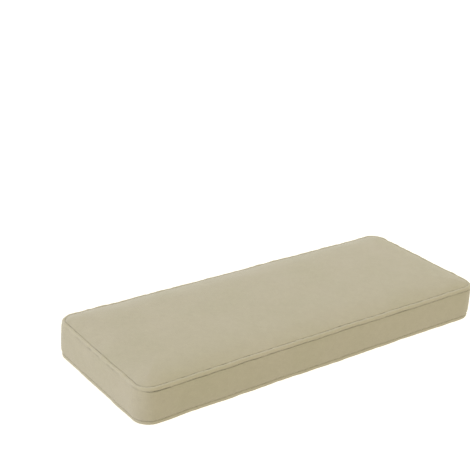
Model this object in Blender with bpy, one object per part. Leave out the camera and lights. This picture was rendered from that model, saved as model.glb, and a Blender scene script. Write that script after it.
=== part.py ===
"""A box cushion for a bench: a filled body with its side strip, two cloth panels and two pipings.

Metres, +Z up. X runs along the cushion and Y across it. The underside rests on Z = 0, and the origin
is below the middle. The seams, where a panel meets the side strip, are the lines that everything else
is measured from: panels lie inside them, the side strip bulges past them, and the pipings lie on them.
"""

import math

import bmesh
import bpy
import numpy as np

# Driving dimensions.
LENGTH = 1.200  # over the side strip where it bulges most
WIDTH = 0.460
STRIP_HEIGHT = 0.097  # from the middle of one piping to the middle of the other
STRIP_BULGE = 0.0125  # how far the side strip stands out past the seams, half way up
CORNER_RADIUS = 0.0343  # of the seam, in plan
SIDE_DRAW_IN = 0.003  # how far the long seams pull in between the corners
END_DRAW_IN = 0.0015  # the same at the two ends
PIPING_RADIUS = 0.005
PANEL_THICKNESS = 0.002
SHOULDER_RISE = 0.013  # how far the top panel climbs over the edge of the filling
SHOULDER_LENGTH = 0.011  # the run in which it climbs about two thirds of that
DOME_RISE = 0.003  # the slow rise from there to the middle
UNDERSIDE_HEIGHT = 0.010  # of the lower seam above the surface that the cushion rests on
UNDERSIDE_ROUNDING = CORNER_RADIUS  # how far in from the seam the underside becomes flat
GAP = 0.0003  # kept between two pieces that touch
LAYER_GAP = 0.0004  # measured upright between a panel and the filling, which slope at the rim

# Rings of a panel, as insets from the seam. The last one has shrunk to the centres of the corners.
RING_INSETS = (0.0, 0.003, 0.008, 0.015, 0.024, CORNER_RADIUS)
CORNER_CELLS = len(RING_INSETS) - 1
LONG_CELLS = 16
SHORT_CELLS = 6
COLUMNS = LONG_CELLS + 2 * CORNER_CELLS
ROWS = SHORT_CELLS + 2 * CORNER_CELLS

# Section of the side strip, from a seam to half way up. It rolls out from under the piping.
STRIP_RINGS = (
    # (share of the half height, share of the bulge)
    (1.000, 0.00),
    (0.945, 0.10),
    (0.890, 0.28),
    (0.785, 0.55),
    (0.563, 0.80),
    (0.280, 0.96),
    (0.000, 1.00),
)

HALF_LENGTH = LENGTH / 2 - STRIP_BULGE  # of the seam
HALF_WIDTH = WIDTH / 2 - STRIP_BULGE
LOWER_SEAM = UNDERSIDE_HEIGHT
UPPER_SEAM = LOWER_SEAM + STRIP_HEIGHT
PIPING_OUTSET = PIPING_RADIUS + GAP
PIPING_RESOLUTION = 3  # of the bevel, which gives the tube ten sides
SHARP_ANGLE = math.radians(40)  # edges that fold more than this stay crisp in the shading
QUARTER_TURN = math.pi / 2

PANEL_COLOUR = (0.515, 0.468, 0.320)
STRIP_COLOUR = (0.500, 0.452, 0.305)
PIPING_COLOUR = (0.508, 0.460, 0.312)
CLOTH_ROUGHNESS = 0.9


def clear_scene():
    """Removes every object that the file starts with."""
    for item in list(bpy.data.objects):
        bpy.data.objects.remove(item, do_unlink=True)


def new_collection(name):
    """A collection linked to the scene."""
    collection = bpy.data.collections.new(name)
    bpy.context.scene.collection.children.link(collection)
    return collection


def cloth_material(name, colour):
    """Plain matt cloth of one colour."""
    material = bpy.data.materials.new(name)
    material.use_nodes = True
    shader = material.node_tree.nodes["Principled BSDF"]
    shader.inputs["Base Color"].default_value = (*colour, 1.0)
    shader.inputs["Roughness"].default_value = CLOTH_ROUGHNESS
    shader.inputs["Metallic"].default_value = 0.0
    return material


def draw_in(x, y):
    """Pulls the long sides and the ends in between the corners, most half way along them."""
    along = 1 - (x / HALF_LENGTH) ** 2
    across = 1 - (y / HALF_WIDTH) ** 2
    return x * (1 - END_DRAW_IN / HALF_LENGTH * across), y * (1 - SIDE_DRAW_IN / HALF_WIDTH * along)


def plan_grid(outset=0.0):
    """Plan of a panel's grid, as arrays x, y and inset that hold [column, row].

    The grid's rings are rounded rectangles. Ring 0 is the seam, moved out by the outset, and the others
    lie inside it by RING_INSETS. In a corner, a ring's points share out a quarter turn evenly, and the
    corner's last ring is one point, the centre of the turn. Beyond that the grid is even.
    """
    column, row = np.meshgrid(np.arange(COLUMNS + 1), np.arange(ROWS + 1), indexing="ij")
    from_end = np.minimum(column, COLUMNS - column)
    from_side = np.minimum(row, ROWS - row)
    ring = np.minimum(from_end, from_side)

    insets = np.array(RING_INSETS)
    insets[0] -= outset
    inner_length = HALF_LENGTH - CORNER_RADIUS
    inner_width = HALF_WIDTH - CORNER_RADIUS
    even_x = inner_length * np.abs(2 * (column - CORNER_CELLS) / LONG_CELLS - 1)
    even_y = inner_width * np.abs(2 * (row - CORNER_CELLS) / SHORT_CELLS - 1)
    x = np.where(from_end < CORNER_CELLS, HALF_LENGTH - insets[np.minimum(from_end, CORNER_CELLS)], even_x)
    y = np.where(from_side < CORNER_CELLS, HALF_WIDTH - insets[np.minimum(from_side, CORNER_CELLS)], even_y)

    steps = np.maximum(CORNER_CELLS - ring, 1)
    step = np.where(from_end <= from_side, CORNER_CELLS - from_side, steps + from_end - ring)
    turn = QUARTER_TURN * step / (2 * steps)
    radius = CORNER_RADIUS - insets[np.minimum(ring, CORNER_CELLS)]
    in_corner = (from_end < CORNER_CELLS) & (from_side < CORNER_CELLS)
    x = np.where(in_corner, inner_length + radius * np.cos(turn), x)
    y = np.where(in_corner, inner_width + radius * np.sin(turn), y)

    inset = np.maximum(np.minimum(HALF_LENGTH - x, HALF_WIDTH - y), 0.0)
    inset = np.where(ring < CORNER_CELLS, np.array(RING_INSETS)[np.minimum(ring, CORNER_CELLS)], inset)
    x = x * np.sign(column - COLUMNS / 2)
    y = y * np.sign(row - ROWS / 2)
    x, y = draw_in(x, y)
    return x, y, inset


def rim_loop():
    """The grid's rim as (column, row) pairs in order, once round."""
    front = [(column, 0) for column in range(COLUMNS)]
    right = [(COLUMNS, row) for row in range(ROWS)]
    back = [(column, ROWS) for column in range(COLUMNS, 0, -1)]
    left = [(0, row) for row in range(ROWS, 0, -1)]
    return front + right + back + left


def crown(x, y, inset):
    """Height of the top panel's outer face: a steep shoulder at the rim, then a slow dome."""
    shoulder = SHOULDER_RISE * (1 - np.exp(-inset / SHOULDER_LENGTH))
    dome = DOME_RISE * (1 - (x / HALF_LENGTH) ** 2) * (1 - (y / HALF_WIDTH) ** 2)
    return UPPER_SEAM + PANEL_THICKNESS / 2 + shoulder + dome


def underside(inset):
    """Height of the bottom panel's outer face: it curves down from the seam and then lies flat."""
    share = np.clip(1 - inset / UNDERSIDE_ROUNDING, 0.0, 1.0)
    return (LOWER_SEAM - PANEL_THICKNESS / 2) * share**2


def strip_sections():
    """Outset and height of the side strip's rings between the two seams, from the lower one up."""
    half_height = STRIP_HEIGHT / 2 - PANEL_THICKNESS / 2 - LAYER_GAP
    middle = (LOWER_SEAM + UPPER_SEAM) / 2
    lower_half = [(bulge, middle - share * half_height) for share, bulge in STRIP_RINGS[1:]]
    upper_half = [(bulge, middle + share * half_height) for share, bulge in reversed(STRIP_RINGS[1:-1])]
    return [(STRIP_BULGE * bulge, height) for bulge, height in lower_half + upper_half]


def layered_block(name, layers, collection, material):
    """One closed solid: a grid extruded from layer to layer, with every point then put in its place.

    A layer is a tuple of arrays x, y, z that hold [column, row]. The first is the solid's underside and
    the last its top. Of those between, only the rim is left after the next extrusion.
    """
    block = bmesh.new()
    bmesh.ops.create_grid(block, x_segments=COLUMNS, y_segments=ROWS, size=1.0)
    layer = block.verts[:] + block.edges[:] + block.faces[:]
    for _ in layers[1:]:
        layer = bmesh.ops.extrude_face_region(block, geom=layer)["geom"]
        lifted = [item for item in layer if isinstance(item, bmesh.types.BMVert)]
        bmesh.ops.translate(block, vec=(0.0, 0.0, 1.0), verts=lifted)
    for vertex in block.verts:
        column = round((vertex.co.x + 1) / 2 * COLUMNS)
        row = round((vertex.co.y + 1) / 2 * ROWS)
        place = layers[round(vertex.co.z)]
        vertex.co = [float(axis[column, row]) for axis in place]
    bmesh.ops.recalc_face_normals(block, faces=block.faces[:])
    mesh = bpy.data.meshes.new(name)
    block.to_mesh(mesh)
    block.free()
    mesh.materials.append(material)
    mesh.shade_smooth()
    mesh.set_sharp_from_angle(angle=SHARP_ANGLE)
    piece = bpy.data.objects.new(name, mesh)
    collection.objects.link(piece)
    return piece


def cushion_body(collection):
    """The filled solid. Its outer wall is the side strip, and the panels lie on its two faces."""
    x, y, inset = plan_grid()
    under_panel = PANEL_THICKNESS + LAYER_GAP
    layers = [(x, y, underside(inset) + under_panel)]
    for outset, height in strip_sections():
        ring_x, ring_y, _ = plan_grid(outset)
        layers.append((ring_x, ring_y, np.full_like(ring_x, height)))
    layers.append((x, y, crown(x, y, inset) - under_panel))
    material = cloth_material("side_strip_cloth", STRIP_COLOUR)
    return layered_block("cushion_body", layers, collection, material)


def top_panel(collection):
    """The cloth over the crown, cut to the upper seam."""
    x, y, inset = plan_grid()
    outer = crown(x, y, inset)
    faces = [(x, y, outer - PANEL_THICKNESS), (x, y, outer)]
    return layered_block("top_panel", faces, collection, cloth_material("top_panel_cloth", PANEL_COLOUR))


def bottom_panel(collection):
    """The cloth that the cushion rests on, cut to the lower seam."""
    x, y, inset = plan_grid()
    outer = underside(inset)
    faces = [(x, y, outer), (x, y, outer + PANEL_THICKNESS)]
    return layered_block("bottom_panel", faces, collection, cloth_material("bottom_panel_cloth", PANEL_COLOUR))


def piping(name, height, collection):
    """A covered cord laid once round the outside of a seam, as a closed round tube."""
    x, y, _ = plan_grid(PIPING_OUTSET)
    route = [(x[point], y[point], height) for point in rim_loop()]
    curve = bpy.data.curves.new(name, "CURVE")
    curve.dimensions = "3D"
    curve.bevel_depth = PIPING_RADIUS
    curve.bevel_resolution = PIPING_RESOLUTION
    cord = curve.splines.new("POLY")
    cord.points.add(len(route) - 1)
    for point, place in zip(cord.points, route):
        point.co = (*place, 1.0)
    cord.use_cyclic_u = True
    cord.use_smooth = True
    curve.materials.append(cloth_material(name + "_cloth", PIPING_COLOUR))
    piece = bpy.data.objects.new(name, curve)
    collection.objects.link(piece)
    return piece


def main():
    """Builds the cushion from the body outwards."""
    clear_scene()
    collection = new_collection("bench_cushion")
    cushion_body(collection)
    bottom_panel(collection)
    top_panel(collection)
    piping("bottom_piping", LOWER_SEAM, collection)
    piping("top_piping", UPPER_SEAM, collection)


main()
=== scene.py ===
# %% [markdown]
# # A bench cushion, dressed for its portrait
#
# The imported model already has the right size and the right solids. This lesson dresses it: a
# crowned top panel, a side strip that swells between two seams, two covered cords and a matt khaki
# cloth. Each step first says what the real thing is, then how Blender can make it.

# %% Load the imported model
import math

import bpy
import numpy as np
from mathutils import Matrix


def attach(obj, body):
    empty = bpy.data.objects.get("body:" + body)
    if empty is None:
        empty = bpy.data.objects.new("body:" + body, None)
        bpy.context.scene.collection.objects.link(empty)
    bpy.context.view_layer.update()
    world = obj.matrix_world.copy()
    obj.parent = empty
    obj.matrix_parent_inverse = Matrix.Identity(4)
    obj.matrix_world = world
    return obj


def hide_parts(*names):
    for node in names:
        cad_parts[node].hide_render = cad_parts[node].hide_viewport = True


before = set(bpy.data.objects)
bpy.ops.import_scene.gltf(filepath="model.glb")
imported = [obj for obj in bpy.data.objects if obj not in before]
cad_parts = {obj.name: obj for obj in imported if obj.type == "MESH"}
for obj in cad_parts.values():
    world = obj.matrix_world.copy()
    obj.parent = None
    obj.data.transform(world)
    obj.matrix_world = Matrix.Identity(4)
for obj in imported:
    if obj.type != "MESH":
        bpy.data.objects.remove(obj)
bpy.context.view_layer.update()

# %% [markdown]
# ## The measures that a maker would write down
#
# Everything is measured from the two seams, the lines where a panel meets the side strip. X runs
# along the cushion, Y across it, Z up, and the cushion lies on Z = 0. The seams lie where those of
# the solids lie, to within a few millimetres, so each cloth lands on its solid.

# %% Measures in metres
HALF_LENGTH = 0.5875  # of the seam, from the middle of the cushion
HALF_WIDTH = 0.2175
CORNER_RADIUS = 0.0400
LOWER_SEAM = 0.010  # height over the surface that the cushion lies on
UPPER_SEAM = 0.1056
SIDE_DRAW_IN = 0.0024  # how far the long seams pull in half way along
END_DRAW_IN = 0.0008
END_SAG = 0.0025  # how far the upper seam sinks in the middle of the left end
PIPING_RADIUS = 0.0061
PIPING_OUTSET = 0.0034  # from the seam to the middle of the cord
CLOTH = 0.0012  # thickness of a panel's cloth
GAP = 0.0004  # between a panel and the filling under it
print("seams in plan in m:", 2 * HALF_LENGTH, "x", 2 * HALF_WIDTH)

# %% [markdown]
# ## The plan: a grid that bends round the corners
#
# A panel is a rectangle of cloth with rounded corners. One way to mesh it is a flat grid with its
# corners cut off, but that leaves ragged cells along the seam. Here the outer rings of the grid are
# themselves rounded rectangles, so the seam is a row of points, and every piece can share them.
# The whole grid is worked out as arrays that hold [column, row]. A coarse copy serves the cloth
# simulation, and a copy three times as fine becomes the surface.

# %% Plan of a panel
FINER = 3  # fine cells for each coarse one
CORNER_CELLS, LONG_CELLS, SHORT_CELLS = 3, 82, 27  # in a corner, along a side, along an end


def insets_of_rings(cells):
    """Ring i of n lies CORNER_RADIUS times (i / n) squared inside the seam: fine at the rim."""
    return CORNER_RADIUS * (np.arange(cells + 1) / cells) ** 2


def draw_in(x, y):
    """Pulls each side towards the middle by a parabola that is zero at the corners."""
    along = 1 - (x / HALF_LENGTH) ** 2
    across = 1 - (y / HALF_WIDTH) ** 2
    return x * (1 - END_DRAW_IN / HALF_LENGTH * across), y * (1 - SIDE_DRAW_IN / HALF_WIDTH * along)


def plan(finer=1, outsets=0.0):
    """x, y and inset of a panel's grid, each as an array [column, row].

    Along the straight sides the points are evenly spaced. In a corner, the points of a ring share
    a quarter turn evenly about the corner's centre. The outsets, one for each ring, move rings
    outwards.
    """
    corner, long, short = CORNER_CELLS * finer, LONG_CELLS * finer, SHORT_CELLS * finer
    columns, rows = long + 2 * corner, short + 2 * corner
    column, row = np.meshgrid(np.arange(columns + 1), np.arange(rows + 1), indexing="ij")
    from_end = np.minimum(column, columns - column)
    from_side = np.minimum(row, rows - row)
    ring = np.minimum(from_end, from_side)
    nominal = insets_of_rings(corner)
    insets = nominal - outsets
    inner_length, inner_width = HALF_LENGTH - CORNER_RADIUS, HALF_WIDTH - CORNER_RADIUS
    even_x = inner_length * np.abs(2 * (column - corner) / long - 1)
    even_y = inner_width * np.abs(2 * (row - corner) / short - 1)
    x = np.where(from_end < corner, HALF_LENGTH - insets[np.minimum(from_end, corner)], even_x)
    y = np.where(from_side < corner, HALF_WIDTH - insets[np.minimum(from_side, corner)], even_y)
    steps = np.maximum(corner - ring, 1)
    step = np.where(from_end <= from_side, corner - from_side, steps + from_end - ring)
    turn = math.pi / 4 * step / steps
    radius = CORNER_RADIUS - insets[np.minimum(ring, corner)]
    in_corner = (from_end < corner) & (from_side < corner)
    x = np.where(in_corner, inner_length + radius * np.cos(turn), x)
    y = np.where(in_corner, inner_width + radius * np.sin(turn), y)
    inset = np.maximum(np.minimum(HALF_LENGTH - x, HALF_WIDTH - y), 0.0)
    inset = np.where(ring < corner, nominal[np.minimum(ring, corner)], inset)
    return *draw_in(x * np.sign(column - columns / 2), y * np.sign(row - rows / 2)), inset


plan_x, plan_y, plan_inset = plan(FINER)
print("panel grid:", plan_x.shape, "points")

# %% [markdown]
# The seam is the grid's outermost row of points. The side strip and the cords stand outside it, so
# each of its points needs a direction that leads away from the cushion. The slope of the seam would
# give it, but that is uneven where a side meets a corner. It is simpler to look at a slightly wider
# plan: the way out leads from each point to the same point there.


# %% The seam and the way out
def rim(grid):
    """The grid's outermost points in order: front, right end, back, left end."""
    return np.concatenate([grid[:-1, 0], grid[-1, :-1], grid[:0:-1, -1], grid[0, :0:-1]])


WIDER = 0.01  # a plan this much wider shows which way is out


def outward(finer=1):
    """For each rim point the unit vector that points away from the cushion, as arrays x and y."""
    wider_x, wider_y, _ = plan(finer, WIDER)
    x, y, _ = plan(finer)
    away = np.stack([rim(wider_x - x), rim(wider_y - y)])
    return away / np.linalg.norm(away, axis=0)


seam_x, seam_y = rim(plan_x), rim(plan_y)
away_x, away_y = outward(FINER)
print("seam:", len(seam_x), "points")

# %% [markdown]
# ## Unevenness that no two cushions share
#
# Sewn cloth is never quite regular. A sum of cosine waves that run in random directions gives a
# smooth, uneven field. It is read in space, so two pieces that meet at a seam move together. The
# seed is fixed, so the cushion comes out the same each time.


# %% A field of random waves
def waves(points, shortest, longest, seed, count=48):
    """Sum of cosines with random directions, phases and lengths, scaled to a spread of 1."""
    draw = np.random.default_rng(seed)
    direction = draw.normal(size=(count, 3))
    direction /= np.linalg.norm(direction, axis=1, keepdims=True)
    length = shortest * (longest / shortest) ** draw.random((count, 1))
    phase = draw.random(count) * math.tau
    total = np.zeros(points.shape[:-1])
    for towards, shift in zip(direction * math.tau / length, phase):
        total += np.cos(points @ towards + shift)
    return total * math.sqrt(2 / count)


# %% [markdown]
# A seam strays a little from the line that it was cut to, and at the left end the upper one sags.
# Whatever lies on a seam or near it asks this function how far to move.

# %% How seams wander
SIDEWAYS_STRAY, UPWARDS_STRAY = 0.0005, 0.0004  # one standard deviation


def seam_wander(points):
    """How far a seam strays sideways and upwards: slow waves, about a millimetre, and a sag.

    The sag of the left end is a parabola across it. It fades with the eighth power of x along the
    cushion and with the square of the height down to the lower seam.
    """
    x, y, z = np.moveaxis(points, -1, 0)
    near_end = np.maximum(-x / HALF_LENGTH, 0) ** 8
    sag = END_SAG * near_end * (1 - (y / HALF_WIDTH) ** 2) * (z / UPPER_SEAM) ** 2
    sideways = SIDEWAYS_STRAY * waves(points, shortest=0.05, longest=0.30, seed=3)
    upwards = UPWARDS_STRAY * waves(points, shortest=0.04, longest=0.25, seed=4)
    return sideways, upwards - np.clip(sag, 0, END_SAG)


# %% [markdown]
# ## From a coarse grid to a fine one
#
# Every third point of the fine grid is a point of the coarse one. Between them, values follow a
# smooth cubic curve through the four nearest points, first along one direction of the grid and
# then along the other. Later this carries the simulated movement over to the fine surface.


# %% Smooth in-between values
def in_between(field, loops=False):
    """A curve through the field's rows, read at FINER points for each step.

    Between rows b and c it is the cubic that passes through both. Its slope at b is half of
    c - a, and at c half of d - b, where a and d are the rows before and after.
    """
    count = len(field)
    place = np.arange(count * FINER if loops else (count - 1) * FINER + 1) / FINER
    before = np.floor(place).astype(int)
    t = (place - before).reshape(-1, *[1] * (field.ndim - 1))
    around = [before + shift for shift in (-1, 0, 1, 2)]
    around = [i % count if loops else np.clip(i, 0, count - 1) for i in around]
    a, b, c, d = (field[i] for i in around)
    return b + t / 2 * (c - a + t * (2 * a - 5 * b + 4 * c - d + t * (3 * (b - c) + d - a)))


def finer(field, loops=False):
    """The field on the fine grid. Its second direction closes on itself if it loops."""
    return in_between(in_between(field).swapaxes(0, 1), loops).swapaxes(0, 1)


print("the squares of 0 to 3, read at thirds:", in_between(np.arange(4.0) ** 2).round(2))

# %% [markdown]
# ## The filled form before it swells
#
# The cushion is foam in a cover that is sewn a little small. The cover starts here slightly smaller
# than the finished cushion: a low crown, a side strip that stands out less, a flat underside.
# The crown's section is a short steep climb beside the cord, a long gentle one, and a low dome. A
# subdivided box would give a similar hump, but little say in how steeply it meets the cord.


# %% Start form of the panels
CONTACT_LEAN, CONTACT_RISE = 0.0008, 0.0050  # outset and height of a panel where it meets the cord
LEAN_RUN = 0.006
HIDDEN_RIM = (-0.0065, 0.0016)  # outset and height of its sewn edge, behind the cord
EDGE_RISE, EDGE_RUN = 0.0014, 0.006
SLOPE_RISE, SLOPE_RUN = 0.0125, 0.033
DOME_RISE = 0.0006
UNDERSIDE_ROUNDING = 0.020  # how far in from the seam the underside becomes flat


def lean(inset):
    """How far a panel leans out over its seam: exp(-inset / run) of the most. Its rim is hidden."""
    return np.where(inset > 0, CONTACT_LEAN * np.exp(-inset / LEAN_RUN), HIDDEN_RIM[0])


def shoulder(inset):
    """Height over the seam: a steep and a gentle climb, each rise times 1 - exp(-inset / run)."""
    climb = EDGE_RISE * (1 - np.exp(-inset / EDGE_RUN))
    climb += SLOPE_RISE * (1 - np.exp(-inset / SLOPE_RUN))
    return np.where(inset > 0, CONTACT_RISE + climb, HIDDEN_RIM[1])


def crown(x, y, inset):
    """The shoulder, and on it a dome that is the product of two parabolas."""
    along, across = 1 - (x / HALF_LENGTH) ** 2, 1 - (y / HALF_WIDTH) ** 2
    return shoulder(inset) + DOME_RISE * along * across


def underside(inset):
    """Height of the underside: from the cord a parabola runs down and out into the flat part."""
    curve = (LOWER_SEAM - CONTACT_RISE) * np.clip(1 - inset / UNDERSIDE_ROUNDING, 0, 1) ** 2
    return np.where(inset > 0, curve, LOWER_SEAM - HIDDEN_RIM[1])


start_top = UPPER_SEAM + float(crown(0.0, 0.0, HALF_WIDTH))
print("height of the crown before it swells in mm:", round(start_top * 1000, 1))

# %% [markdown]
# The side strip has to roll out from behind a round cord, which no short formula does. So half of
# its section is drawn as a table of points, from a seam to half way up. The other half is the same
# upside down, and the whole section is carried round the seam.

# %% Start form of the side strip
# Each point is (outset, distance from the seam). The first ones lie behind and under the cord, up
# to the lip that touches it.
SIDE_SECTION = np.array([
    (-0.0060, 0.0003), (-0.0032, 0.0039), (0.0012, 0.0063), (0.0044, 0.0065), (0.0064, 0.0056),
    (0.0081, 0.0065), (0.0094, 0.0086), (0.0106, 0.0120), (0.0113, 0.0175), (0.0115, 0.0310),
    (0.0115, 0.0480),
])
# The ends are short and taut, so there the strip comes straight up to the outside of the top cord.
END_SECTION = np.array([
    (-0.0060, 0.0003), (-0.0032, 0.0039), (0.0012, 0.0064), (0.0052, 0.0063), (0.0086, 0.0040),
    (0.0096, 0.0004), (0.0100, 0.0026), (0.0104, 0.0065), (0.0108, 0.0130), (0.0110, 0.0310),
    (0.0110, 0.0480),
])
UNDER_CORD = 6  # points of a section that the simulation doesn't move


def strip_section(top_half, finer=1):
    """Outset and height of the strip's rings: the side's section, and the top half upside down."""
    lower = SIDE_SECTION + [0, LOWER_SEAM]
    upper = top_half[-2::-1] * [1, -1] + [0, UPPER_SEAM]
    rings = np.concatenate([lower, upper])
    return in_between(rings) if finer > 1 else rings


def strip(finer=1):
    """The side strip as an array [ring, point round the seam, xyz].

    Each point is moved out from the seam by its section's outset. In the corners the side's section
    turns into the end's by the square of the outward direction's x.
    """
    x, y, _ = plan(finer)
    out_x, out_y = outward(finer)
    at_side, at_end = (strip_section(half, finer)[:, None] for half in (SIDE_SECTION, END_SECTION))
    blend = out_x[:, None] ** 2
    outset, height = np.moveaxis(at_side * (1 - blend) + at_end * blend, -1, 0)
    return np.stack([rim(x) + out_x * outset, rim(y) + out_y * outset, height], axis=-1)


coarse_strip = strip()
print("coarse side strip:", coarse_strip.shape[:2], "points")

# %% [markdown]
# ## From arrays to a mesh
#
# A grid of point numbers turns into faces by taking four shifted copies of itself. The order of the
# four decides which way the face looks, so a grid that is seen from below is listed backwards.
# Each face also has its place on the flat cloth, in metres, so the weave follows the cut.


# %% Mesh helpers
def quads(number):
    """Faces of a grid of point numbers: each cell's four corners, once round."""
    cells = [number[:-1, :-1], number[1:, :-1], number[1:, 1:], number[:-1, 1:]]
    return np.stack(cells, axis=-1).reshape(-1, 4)


def closed(grid):
    """Repeats the first column after the last, so that a loop joins up."""
    return np.concatenate([grid, grid[:, :1]], axis=1)


def make_mesh(name, points, faces, flat=None, flat_faces=None):
    """An object from an array of points and an array of faces, with its flat cut as a UV map."""
    mesh = bpy.data.meshes.new(name)
    mesh.from_pydata(points.reshape(-1, 3), [], faces)
    if flat is not None:
        layer = mesh.uv_layers.new(name="cut")
        corners = flat.reshape(-1, 2)[flat_faces.ravel()]
        layer.uv.foreach_set("vector", corners.ravel().astype(np.float32))
    mesh.shade_smooth()
    piece = bpy.data.objects.new(name, mesh)
    bpy.context.scene.collection.objects.link(piece)
    return piece


def block(top, side, bottom):
    """Point and face arrays of a closed block: a top grid, rings between the rims, a bottom grid.

    The side's first ring is the bottom's rim and its last ring the top's rim, so those are shared.
    """
    shape, ring_shape = top.shape[:2], side[1:-1].shape[:2]
    count, ring_count = shape[0] * shape[1], ring_shape[0] * ring_shape[1]
    top_number = np.arange(count).reshape(shape)
    bottom_number = top_number + count
    ring_number = (2 * count + np.arange(ring_count)).reshape(ring_shape)
    wall = np.concatenate([rim(bottom_number)[None], ring_number, rim(top_number)[None]])
    points = np.concatenate([a.reshape(-1, 3) for a in (top, bottom, side[1:-1])])
    faces = [quads(top_number), quads(bottom_number)[:, ::-1], quads(closed(wall))[:, ::-1]]
    return points, np.concatenate(faces)


# %% [markdown]
# ## Swelling the cover with a cloth simulation
#
# Blender's Cloth can blow a closed mesh up like a balloon. The seams are pinned, because a sewn and
# corded edge hardly moves, and gravity is off, because foam carries the cover. Twenty frames are
# enough. Cloth under pressure would go on growing, so the movement of each point is rounded off at
# a few millimetres. The modifier could be applied to the finished piece, but then its mesh would be
# as coarse as the simulated one. So only the movement is kept, as arrays on the coarse grid, and
# the simulated object is thrown away.


# %% Cloth under pressure
PRESSURE, COVER_MASS = 4.0, 0.3
LAST_FRAME = 20


def rounded_off(move, most):
    """A movement of length d becomes most times the hyperbolic tangent of d / most long."""
    length = np.maximum(np.linalg.norm(move, axis=-1, keepdims=True), 1e-9)
    return move / length * most * np.tanh(length / most)


def swell(points, faces, pinned):
    """Runs the simulation and returns how far each point moved."""
    cover = make_mesh("cover_under_pressure", points, faces)
    cover.vertex_groups.new(name="seams").add(pinned.tolist(), 1.0, "REPLACE")
    cloth = cover.modifiers.new("swell", "CLOTH").settings
    cloth.vertex_group_mass = "seams"
    cloth.use_pressure = True
    cloth.uniform_pressure_force = PRESSURE
    cloth.effector_weights.gravity = 0.0
    cloth.mass = COVER_MASS
    for frame_number in range(1, LAST_FRAME + 1):
        bpy.context.scene.frame_set(frame_number)
    evaluated = cover.evaluated_get(bpy.context.evaluated_depsgraph_get())
    moved = np.empty(len(points) * 3, dtype=np.float32)
    evaluated.data.vertices.foreach_get("co", moved)
    moved = moved.reshape(-1, 3) - points
    bpy.data.objects.remove(cover, do_unlink=True)
    bpy.context.scene.frame_set(1)
    print("largest movement in mm:", round(float(np.abs(moved).max()) * 1000, 2))
    return moved


# %% [markdown]
# The start form becomes one closed cover on the coarse grid, and is blown up. A panel keeps its
# movement in the middle, but not near the seam, where the foam's edge holds it.

# %% Blow the cover up, and keep the movement
PANEL_SWELL, STRIP_SWELL = 0.0032, 0.0010  # the most that a point may move
FOAM_EDGE = 0.060  # the run from the seam in which the panel's movement fades in
coarse_lean = lean(insets_of_rings(CORNER_CELLS))
coarse_x, coarse_y, coarse_inset = plan(1, coarse_lean)
coarse_height = UPPER_SEAM + crown(coarse_x, coarse_y, coarse_inset)
coarse_top = np.stack([coarse_x, coarse_y, coarse_height], axis=-1)
coarse_bottom = np.stack([coarse_x, coarse_y, underside(coarse_inset)], axis=-1)
points, faces = block(coarse_top, coarse_strip, coarse_bottom)
panel_points = coarse_x.size
hold = 1 - np.exp(-coarse_inset / FOAM_EDGE)[..., None]

# Pinned are the top's rim, the whole bottom, and what lies under each cord: in the list of
# points, the strip's first rings follow the bottom, and its last rings end the list.
numbers = np.arange(panel_points).reshape(coarse_x.shape)
hidden = np.arange((UNDER_CORD - 1) * coarse_strip.shape[1])
under_cords = [hidden + 2 * panel_points, len(points) - 1 - hidden]
pinned = np.concatenate([rim(numbers), numbers.ravel() + panel_points, *under_cords])
move = swell(points, faces, pinned)
top_move = rounded_off(move[:panel_points].reshape(coarse_top.shape), PANEL_SWELL) * hold
free_rings = move[2 * panel_points:].reshape(coarse_strip[1:-1].shape)
strip_move = np.zeros_like(coarse_strip)
strip_move[1:-1] = rounded_off(free_rings, STRIP_SWELL)
for part, part_move in (("top", top_move), ("strip", strip_move)):
    mean_swell = np.linalg.norm(part_move, axis=-1).mean()
    print("mean swell of the", part, "in mm:", round(float(mean_swell) * 1000, 2))


# %% [markdown]
# ## What stitches and foam do to the cloth
#
# The stitches of a corded seam pull small dimples into the cloth beside it, which fade within a
# centimetre or two. Further in the cloth is almost smooth, with a slight, slow unevenness from the
# foam. Sculpting could give both, but waves that depend on the distance from the seam serve the
# panels and the strip alike.


# %% Dimples and bumps
DIMPLE = 0.00030  # how deep the stitches pull the cloth in, one standard deviation
DIMPLE_WAVES = (0.014, 0.040)  # shortest and longest distance from one dimple to the next
DIMPLE_REACH = 0.010
SLOW_BUMPS = 0.00040
BUMPS_START = 0.03  # the run from the seam in which the slow bumps fade in
SEAM_REACH = 0.05  # the run from the seam in which its wandering fades


def dimples(points, inset, seed):
    """Short waves that fade by exp(-inset / reach) with the distance from the seam."""
    return DIMPLE * waves(points, *DIMPLE_WAVES, seed=seed) * np.exp(-inset / DIMPLE_REACH)


def slow_bumps(points, inset, shortest, longest, seed):
    """Long waves that grow by 1 - exp(-inset / start) with the distance from the seam."""
    return SLOW_BUMPS * waves(points, shortest, longest, seed) * (1 - np.exp(-inset / BUMPS_START))


def follow_seam(points, inset):
    """Moves points with the wandering seam. The movement fades with the distance from the seam."""
    sideways, upwards = seam_wander(points)
    fade = np.exp(-inset / SEAM_REACH)
    points[..., 0] += sideways * fade * np.sign(points[..., 0])
    points[..., 1] += sideways * fade * np.sign(points[..., 1])
    points[..., 2] += upwards * fade
    return points


# %% [markdown]
# ## The top panel
#
# The top panel is one sheet, taut over the foam, and close to the seam it dives down beside the
# cord. It is a thin closed sheet: an outer face, an inner face, and a narrow edge between them. A
# Solidify modifier would thicken a single face, but where the cloth folds back behind the cord its
# inner face would cut through itself. So the way into the cloth is worked out here for each point.

# %% Top panel
HIDDEN_WAY_IN = (-0.50, -1.2), (0.87, -0.1)  # sideways and upwards, for the rings behind the cord
fine_rings = insets_of_rings(CORNER_CELLS * FINER)


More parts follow.
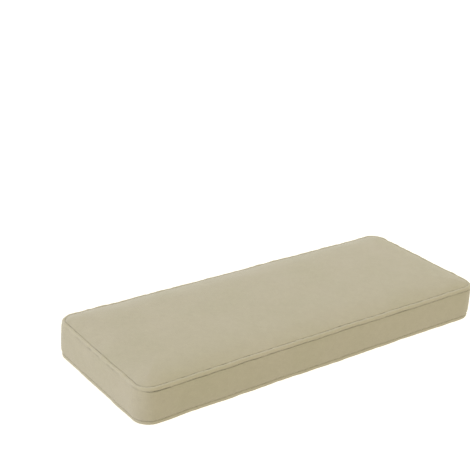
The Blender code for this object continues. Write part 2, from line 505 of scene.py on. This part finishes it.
def into_cloth():
    """Vectors [column, row, xyz] that point from the top panel's face into the cushion.

    The panel's section is a curve of outset and height. Its direction, turned by a quarter, points
    in. Behind the cord the curve folds back, so there the first two rings have directions of their
    own. All these vectors are about 1 long.
    """
    along, up = np.gradient(lean(fine_rings) - fine_rings), np.gradient(shoulder(fine_rings))
    length = np.hypot(along, up)
    sideways, upwards = -up / length, along / length
    sideways[:2], upwards[:2] = HIDDEN_WAY_IN
    step = 0.001  # far enough to see the direction
    x, y, _ = plan(FINER, lean(fine_rings) + sideways * step)
    upwards = np.interp(plan_inset, fine_rings, upwards)
    return np.stack([(x - lean_x) / step, (y - lean_y) / step, upwards], axis=-1)


lean_x, lean_y, _ = plan(FINER, lean(fine_rings))
inward = into_cloth()
top = np.stack([lean_x, lean_y, UPPER_SEAM + crown(plan_x, plan_y, plan_inset)], axis=-1)
top += finer(top_move)
top[..., 2] += dimples(top, plan_inset, seed=5)
top[..., 2] += slow_bumps(top, plan_inset, shortest=0.10, longest=0.35, seed=6)
top = follow_seam(top, plan_inset)
print("top of the crown in mm:", round(float(top[..., 2].max()) * 1000, 1))


def sheet(name, upper, lower):
    """A thin closed sheet between two grids, with the plan as its flat cut."""
    points, faces = block(upper, np.stack([rim(lower), rim(upper)]), lower)
    return make_mesh(name, points, faces, points[:, :2], faces)


top_panel = sheet("top_panel_cloth", top, top + inward * CLOTH)

# %% [markdown]
# ## The bottom panel
#
# The bottom panel is the same cut. It curves down from the lower cord and then lies flat, because
# the cushion rests on it. A mirrored copy of the top panel would be quick, but it would stand on
# its crown, so the underside has a height of its own.

# %% Bottom panel
upward = inward * [1, 1, -1]
bottom = np.stack([lean_x, lean_y, underside(plan_inset)], axis=-1)
bottom[..., 2] += dimples(bottom, plan_inset, seed=7)
bottom = follow_seam(bottom, plan_inset)
bottom[..., 2] = np.maximum(bottom[..., 2], 0.0)
bottom_panel = sheet("bottom_panel_cloth", bottom + upward * CLOTH, bottom)

# %% [markdown]
# ## The filling with its side strip
#
# The side strip is a long band that goes round the filling between the two cords. It rolls out from
# under each cord and swells in the middle. Filling and strip are one closed, padded form, and the
# two panels lie on it. A plain box with bevelled edges would miss the groove beside each cord, so
# a drawn section is carried round the seam. The strip's rings are nearly level, so a ring's height
# tells how far it is from the nearest seam.

# %% Side strip
END_CALM = 0.8  # the short, taut ends dimple this much less
side = strip(FINER)
side += finer(strip_move, loops=True)
height = side[:, :1, 2]
from_seam = np.maximum(np.minimum(height - LOWER_SEAM, UPPER_SEAM - height), 0.0)
push = dimples(side, from_seam, seed=8) * (1 - END_CALM * away_x ** 2)
push += slow_bumps(side, from_seam, shortest=0.08, longest=0.30, seed=9)
side[..., 0] += away_x * push
side[..., 1] += away_y * push
side = follow_seam(side, from_seam)
print("side strip:", side.shape[:2], "points")

# %% [markdown]
# The filling's lid and base are the panels' inner faces, a hair further in. Its flat cut has two
# parts: the lid as seen from above, and the strip unrolled, along the seam and up its section.

# %% Filled body
lid = top + inward * (CLOTH + GAP)
base = bottom + upward * (CLOTH + GAP)
side = np.concatenate([rim(base)[None], side[1:-1], rim(lid)[None]])
points, faces = block(lid, side, base)

run = np.cumsum(np.hypot(np.diff(seam_x, append=seam_x[0]), np.diff(seam_y, append=seam_y[0])))
run = np.insert(run, 0, 0.0)
section = strip_section(SIDE_SECTION, FINER)
rise = np.insert(np.cumsum(np.linalg.norm(np.diff(section, axis=0), axis=1)), 0, 0.0)
strip_flat = np.stack(np.meshgrid(run, rise), axis=-1)
panel_flat = lid[..., :2].reshape(-1, 2)
flat = np.concatenate([panel_flat, strip_flat.reshape(-1, 2)])
panel_cells = quads(np.arange(len(panel_flat)).reshape(lid.shape[:2]))
strip_numbers = np.arange(len(panel_flat), len(flat)).reshape(strip_flat.shape[:2])
strip_cells = quads(strip_numbers)
flat_faces = np.concatenate([panel_cells, panel_cells[:, ::-1], strip_cells[:, ::-1]])
body = make_mesh("side_strip_on_filling", points, faces, flat, flat_faces)
print("seam length in m:", round(float(run[-1]), 3), "strip width in m:", round(float(rise[-1]), 3))

# %% [markdown]
# ## The piping
#
# Piping is a cord in a strip of cloth that is cut on the bias and sewn in between panel and side
# strip. A curve with a bevel would give a perfect tube. Here the tube is a grid of its own, so the
# cover can pinch and slacken a little, and the whole cord strays with its seam.

# %% Cord
SIDES = 20
CORD_POINTS = 2  # points along the cord for each point of the seam
CORD_WAVES = (0.018, 0.060)  # shortest and longest, for its thickness and its sway
PUCKER_WAVES = (0.006, 0.015)
THICKNESS_SPREAD, PUCKER = 0.00016, 0.00008  # of the radius
SWAY_OUT, SWAY_UP = 0.00020, 0.00025


def tube(path, away, radius, outset, lift):
    """Points [along, around, xyz] of a tube: circles that stand upright and across the path.

    A point is the path, moved outwards by outset + radius * cos(angle) and upwards by
    lift + radius * sin(angle). Radius, outset and lift are columns, one value for each path point.
    """
    angle = np.arange(SIDES) / SIDES * math.tau
    out = outset + radius * np.cos(angle)
    x, y = (path[:, i:i + 1] + away[i][:, None] * out for i in (0, 1))
    return np.stack([x, y, path[:, 2:] + lift + radius * np.sin(angle)], axis=-1)


def piping(name, height, seed):
    """A covered cord along the seam at the given height, with its bias-cut cover as flat cut."""
    count = len(seam_x) * CORD_POINTS
    place = np.arange(count + 1) / CORD_POINTS
    track = [seam_x, seam_y, away_x, away_y]
    x, y, *away = (np.interp(place[:-1], np.arange(len(a) + 1), np.append(a, a[0])) for a in track)
    path = follow_seam(np.stack([x, y, np.full(count, height)], axis=-1), 0.0)
    wobble = waves(path, *CORD_WAVES, seed)[:, None]
    sway = waves(path, *CORD_WAVES, seed + 1)[:, None]
    pucker = waves(path, *PUCKER_WAVES, seed + 2)[:, None]
    radius = PIPING_RADIUS + THICKNESS_SPREAD * wobble + PUCKER * pucker
    points = tube(path, away, radius, PIPING_OUTSET + SWAY_OUT * sway, SWAY_UP * sway)
    number = np.arange(count * SIDES).reshape(count, SIDES)
    number = np.concatenate([number, number[:1]])
    along = np.interp(place, np.arange(len(run)), run)
    around = np.arange(SIDES + 1) / SIDES * math.tau * PIPING_RADIUS
    flat = np.stack(np.meshgrid(along, around, indexing="ij"), axis=-1)
    flat_number = np.arange(flat[..., 0].size).reshape(flat.shape[:2])
    return make_mesh(name, points, quads(closed(number)), flat, quads(flat_number))


top_cord = piping("top_piping_cord", UPPER_SEAM, seed=20)
bottom_cord = piping("bottom_piping_cord", LOWER_SEAM, seed=30)
print("each cord:", len(top_cord.data.vertices), "points")

# %% [markdown]
# ## The cloth
#
# The cover is plain, matt, khaki cotton. Its threads are finer than a millimetre, so from a few
# steps away only a faint unevenness of tone is left. An image of cloth would do, but it repeats and
# has one fixed fineness. Here shader nodes work the cloth out from each point's place on the flat
# cut, so it bends with the cloth. First come three small helpers that add nodes to a material.


# %% Helpers for shader nodes
def node(tree, kind, *sources, **settings):
    """A new node. Each source is a socket to link or a value to set, in the order of its inputs."""
    made = tree.nodes.new(kind)
    for key, value in settings.items():
        setattr(made, key, value)
    for socket, source in enumerate(sources):
        if isinstance(source, bpy.types.NodeSocket):
            tree.links.new(source, made.inputs[socket])
        elif source is not None:
            made.inputs[socket].default_value = source
    return made


def maths(tree, operation, *sources):
    """The result of a Math node."""
    return node(tree, "ShaderNodeMath", *sources, operation=operation).outputs[0]


def noise(tree, place, per_metre, detail):
    """Noise from 0 to 1, with so many blobs to the metre along each of the three axes."""
    scaled = node(tree, "ShaderNodeMapping", place, None, None, per_metre).outputs[0]
    made = node(tree, "ShaderNodeTexNoise", scaled)
    made.inputs["Scale"].default_value = 1.0
    made.inputs["Detail"].default_value = detail
    return made.outputs[0]


# %% [markdown]
# The weave is the product of two cosine waves: it is high on one thread and low on the next, as in
# a chequerboard. Long thin noise along each direction gives the thick and thin places of spun yarn,
# which weavers call slubs.

# %% Weave
THREAD = 0.0008  # from one thread to the next
YARN_LONG, YARN_THIN = 60.0, 900.0  # slubs to the metre, along a yarn and across it
SLUB_DETAIL = 2.0


def weave_and_slubs(tree, cut):
    """cos(pi x / thread) times cos(pi y / thread), and the sum of the slubs of warp and weft."""
    x, y, _ = node(tree, "ShaderNodeSeparateXYZ", cut).outputs
    per_thread = math.pi / THREAD
    x_wave, y_wave = (maths(tree, "COSINE", maths(tree, "MULTIPLY", v, per_thread)) for v in (x, y))
    warp = noise(tree, cut, (YARN_LONG, YARN_THIN, 1.0), SLUB_DETAIL)
    weft = noise(tree, cut, (YARN_THIN, YARN_LONG, 1.0), SLUB_DETAIL)
    return maths(tree, "MULTIPLY", x_wave, y_wave), maths(tree, "ADD", warp, weft)


print("threads to the metre:", round(1 / THREAD))

# %% [markdown]
# Cloth is dyed in a bath, which leaves it a little greener here and greyer there, in patches as
# large as a hand, and use leaves a finer mottle. Both are noise on Object coordinates, so they run
# on over the seams. A tone is put together from all of these and multiplies the colour.

# %% Tone
WEAVE_TONE, SLUB_TONE, MOTTLE_TONE, DYE_TONE = 0.015, 0.20, 0.10, 0.07  # how strongly each shows
DYE_PATCHES, MOTTLE_PATCHES = (7.0, 7.0, 7.0), (45.0, 45.0, 45.0)  # to the metre
GREENER, GREYER = (0.985, 1.0, 0.955), (1.015, 1.0, 1.045)


def uneven_colour(tree, colour, weave, slubs):
    """The colour between its greener and greyer dye, times 1 plus the sum of the unevennesses."""
    place = node(tree, "ShaderNodeTexCoord").outputs["Object"]
    dye = noise(tree, place, DYE_PATCHES, detail=3.0)
    mottle = noise(tree, place, MOTTLE_PATCHES, detail=4.0)
    tone = maths(tree, "MULTIPLY_ADD", weave, WEAVE_TONE, 1.0)
    parts = (slubs, 1.0, SLUB_TONE), (mottle, 0.5, MOTTLE_TONE), (dye, 0.5, DYE_TONE)
    for part, mean, strength in parts:
        tone = maths(tree, "MULTIPLY_ADD", maths(tree, "SUBTRACT", part, mean), strength, tone)
    dyed = node(tree, "ShaderNodeMix", data_type="RGBA")
    tree.links.new(dye, dyed.inputs["Factor"])
    for end, tint in (("A", GREENER), ("B", GREYER)):
        dyed.inputs[end].default_value = (*(c * t for c, t in zip(colour, tint)), 1.0)
    toned = node(tree, "ShaderNodeVectorMath", dyed.outputs["Result"], operation="SCALE")
    tree.links.new(tone, toned.inputs["Scale"])
    return toned.outputs[0]


print("a patch of dye is about", round(100 / DYE_PATCHES[0]), "cm wide")

# %% [markdown]
# Matt cotton is rough, with a little sheen from its fuzz. The threads themselves are left to bump,
# because as geometry they would take millions of faces. The weave is turned by 45 degrees on the
# piping, since its strips are cut on the bias, which lets them bend round the corners.

# %% Cloth material
ROUGHNESS, SLUB_ROUGHNESS = 0.84, 0.06
THREAD_HEIGHT, BUMP_STRENGTH = 0.00015, 0.5
SLUB_HEIGHT = 0.5  # in threads
CONSTANTS = {"Sheen Weight": 0.15, "Sheen Roughness": 0.5, "Specular IOR Level": 0.2}


def cloth_material(name, colour, turn=0.0):
    """Matt woven cloth. The turn lays the weave at an angle."""
    material = bpy.data.materials.new(name)
    material.use_nodes = True
    tree = material.node_tree
    shader = tree.nodes["Principled BSDF"]
    cut = node(tree, "ShaderNodeUVMap", uv_map="cut").outputs[0]
    cut = node(tree, "ShaderNodeMapping", cut, None, (0.0, 0.0, turn)).outputs[0]
    weave, slubs = weave_and_slubs(tree, cut)
    tree.links.new(uneven_colour(tree, colour, weave, slubs), shader.inputs["Base Color"])
    rough = maths(tree, "MULTIPLY_ADD", slubs, SLUB_ROUGHNESS, ROUGHNESS)
    tree.links.new(rough, shader.inputs["Roughness"])
    height = maths(tree, "MULTIPLY_ADD", slubs, SLUB_HEIGHT, maths(tree, "ABSOLUTE", weave))
    bump = node(tree, "ShaderNodeBump")
    bump.inputs["Distance"].default_value = THREAD_HEIGHT
    bump.inputs["Strength"].default_value = BUMP_STRENGTH
    tree.links.new(height, bump.inputs["Height"])
    tree.links.new(bump.outputs[0], shader.inputs["Normal"])
    for socket, value in CONSTANTS.items():
        shader.inputs[socket].default_value = value
    return material


# %% [markdown]
# Three materials share the khaki: one for the panels, one for the strip, and one for the piping.
# The piping's khaki is painted 5 % paler, a painted brightening that makes the cords look more
# brightly lit than the same cloth elsewhere. The colour is darker than the cloth looks, because the
# light around it is brighter than white.

# %% Dress the pieces
KHAKI = (0.293, 0.264, 0.186)
PIPING_KHAKI_PAINTED_LIGHTER = tuple(1.05 * c for c in KHAKI)  # painted light: the same cloth, made paler so that the cords look brighter
BIAS = math.radians(45)
panel_cloth = cloth_material("khaki_panel_cloth", KHAKI)
strip_cloth = cloth_material("khaki_strip_cloth", KHAKI)
piping_cloth = cloth_material("khaki_piping_cloth", PIPING_KHAKI_PAINTED_LIGHTER, turn=BIAS)
finish = {top_panel: panel_cloth, bottom_panel: panel_cloth, body: strip_cloth,
          top_cord: piping_cloth, bottom_cord: piping_cloth}
for piece, material in finish.items():
    piece.data.materials.append(material)
    print(piece.name, "is dressed in", material.name)

# %% [markdown]
# ## Tie each piece to the imported model
#
# Each piece rides on the cushion's one body, and the solid that it covers is hidden. The filled
# body is padded, and the two panels are sheets of cloth, cut flat before they were stretched over
# it.

# %% Ties to the imported model
REPLACED = {body: "cushion_body", top_panel: "top_panel", bottom_panel: "bottom_panel",
            top_cord: "top_piping", bottom_cord: "bottom_piping"}
for piece, node_name in REPLACED.items():
    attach(piece, "root")
    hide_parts(node_name)

# %% [markdown]
# ## Floor and light
#
# Most of the light comes from everywhere: a warm white room above, and below it a floor that is lit
# through from underneath, like a light table. So it stays white right up to the cushion, and its
# glow reaches the lower cord. A large cool window at the left makes the near end as bright as the
# top, while the long front stays darker. A faint blue light from high behind is the sky.

# %% Floor
FLOOR_REACH = 14.0
FLOOR_DROP = 0.0003  # so that the flat underside and the floor don't share a plane
FLOOR_GREY = (0.04, 0.04, 0.04, 1)
GLOW_COLOUR, GLOW_STRENGTH = (1.0, 0.95, 0.837, 1), 1.18

corners = [(-1, -1, 0), (1, -1, 0), (1, 1, 0), (-1, 1, 0)]
floor_mesh = bpy.data.meshes.new("floor")
floor_mesh.from_pydata(np.array(corners) * FLOOR_REACH, [], [(0, 1, 2, 3)])
floor = bpy.data.objects.new("floor", floor_mesh)
floor.location.z = -FLOOR_DROP
bpy.context.scene.collection.objects.link(floor)
white = bpy.data.materials.new("white_floor")
white.use_nodes = True
white_shader = white.node_tree.nodes["Principled BSDF"]
white_shader.inputs["Base Color"].default_value = FLOOR_GREY
white_shader.inputs["Roughness"].default_value = 1.0
white_shader.inputs["Emission Color"].default_value = GLOW_COLOUR
white_shader.inputs["Emission Strength"].default_value = GLOW_STRENGTH
floor_mesh.materials.append(white)
print("floor:", 2 * FLOOR_REACH, "m wide")

# %% [markdown]
# The room is the world's background. The window and the sky are square area lights on a sphere
# round the cushion. Big lights far away give soft shade with no edge, as on an overcast day. They
# are placed by azimuth and elevation, like the camera, so both share one function.

# %% Light
ROOM_COLOUR, ROOM_STRENGTH = (1.0, 0.978, 0.873, 1), 1.52
LAMP_DISTANCE, LAMP_SIZE = 8.0, 4.0
world = bpy.data.worlds.new("room")
world.use_nodes = True
background = world.node_tree.nodes["Background"]
background.inputs["Color"].default_value = ROOM_COLOUR
background.inputs["Strength"].default_value = ROOM_STRENGTH
bpy.context.scene.world = world


def bearing(azimuth, elevation):
    """Unit vector from the cushion to a place seen at this azimuth, 0 in front, and elevation."""
    level = math.cos(elevation)
    return np.array([math.sin(azimuth) * level, -math.cos(azimuth) * level, math.sin(elevation)])


def softbox(name, azimuth, elevation, power, colour):
    """A square area light on a sphere round the cushion, turned towards it. Angles in degrees."""
    azimuth, elevation = math.radians(azimuth), math.radians(elevation)
    lamp = bpy.data.lights.new(name, "AREA")
    lamp.shape, lamp.size, lamp.energy, lamp.color = "SQUARE", LAMP_SIZE, power, colour
    holder = bpy.data.objects.new(name, lamp)
    holder.location = LAMP_DISTANCE * bearing(azimuth, elevation)
    holder.rotation_euler = (math.pi / 2 - elevation, 0, azimuth)
    bpy.context.scene.collection.objects.link(holder)
    print(name, "at", [round(v, 2) for v in holder.location])


softbox("window", azimuth=-98, elevation=7, power=400, colour=(0.58, 0.66, 1.0))
softbox("sky", azimuth=180, elevation=35, power=150, colour=(0.20, 0.33, 1.0))

# %% [markdown]
# ## The camera
#
# The camera was found by fitting the four straight seams and the corners of the real cushion's
# picture: a long lens, low over the near left corner, rolled by three degrees. A Track To
# constraint can aim a camera but not roll it or put a point on a given pixel. So its three axes
# are worked out here, and it is moved sideways and upwards until the target lands on its pixel.

# %% Camera
FRAME_PIXELS = 470
FOCAL_PIXELS = 1060.7
CAMERA_AZIMUTH, CAMERA_ELEVATION, CAMERA_ROLL = (math.radians(v) for v in (-37.38, 23.18, 3.34))
CAMERA_DISTANCE = 3.1040
SENSOR = 36.0  # millimetres
TARGET = np.array([0.0, 0.0, 0.010])  # a point inside the cushion, near its underside
TARGET_PIXEL = (275.68, 331.00)  # where it would be seen

back = bearing(CAMERA_AZIMUTH, CAMERA_ELEVATION)
level = np.array([math.cos(CAMERA_AZIMUTH), math.sin(CAMERA_AZIMUTH), 0.0])
upright = np.cross(back, level)
cos_roll, sin_roll = math.cos(CAMERA_ROLL), math.sin(CAMERA_ROLL)
right = level * cos_roll + upright * sin_roll
up = upright * cos_roll - level * sin_roll
metres_per_pixel = CAMERA_DISTANCE / FOCAL_PIXELS
shift_x = (TARGET_PIXEL[0] - FRAME_PIXELS / 2) * metres_per_pixel
shift_y = (FRAME_PIXELS / 2 - TARGET_PIXEL[1]) * metres_per_pixel
spot = TARGET + CAMERA_DISTANCE * back - shift_x * right - shift_y * up
camera = bpy.data.objects.new("camera", bpy.data.cameras.new("camera"))
camera.data.sensor_width = SENSOR
camera.data.lens = FOCAL_PIXELS / FRAME_PIXELS * SENSOR
camera.matrix_world = Matrix(np.column_stack([right, up, back, spot]).tolist() + [[0, 0, 0, 1]])
bpy.context.scene.collection.objects.link(camera)
bpy.context.scene.camera = camera
bpy.context.scene.view_settings.view_transform = "Standard"
print("camera at", [round(float(v), 3) for v in spot], "lens", round(camera.data.lens, 2))
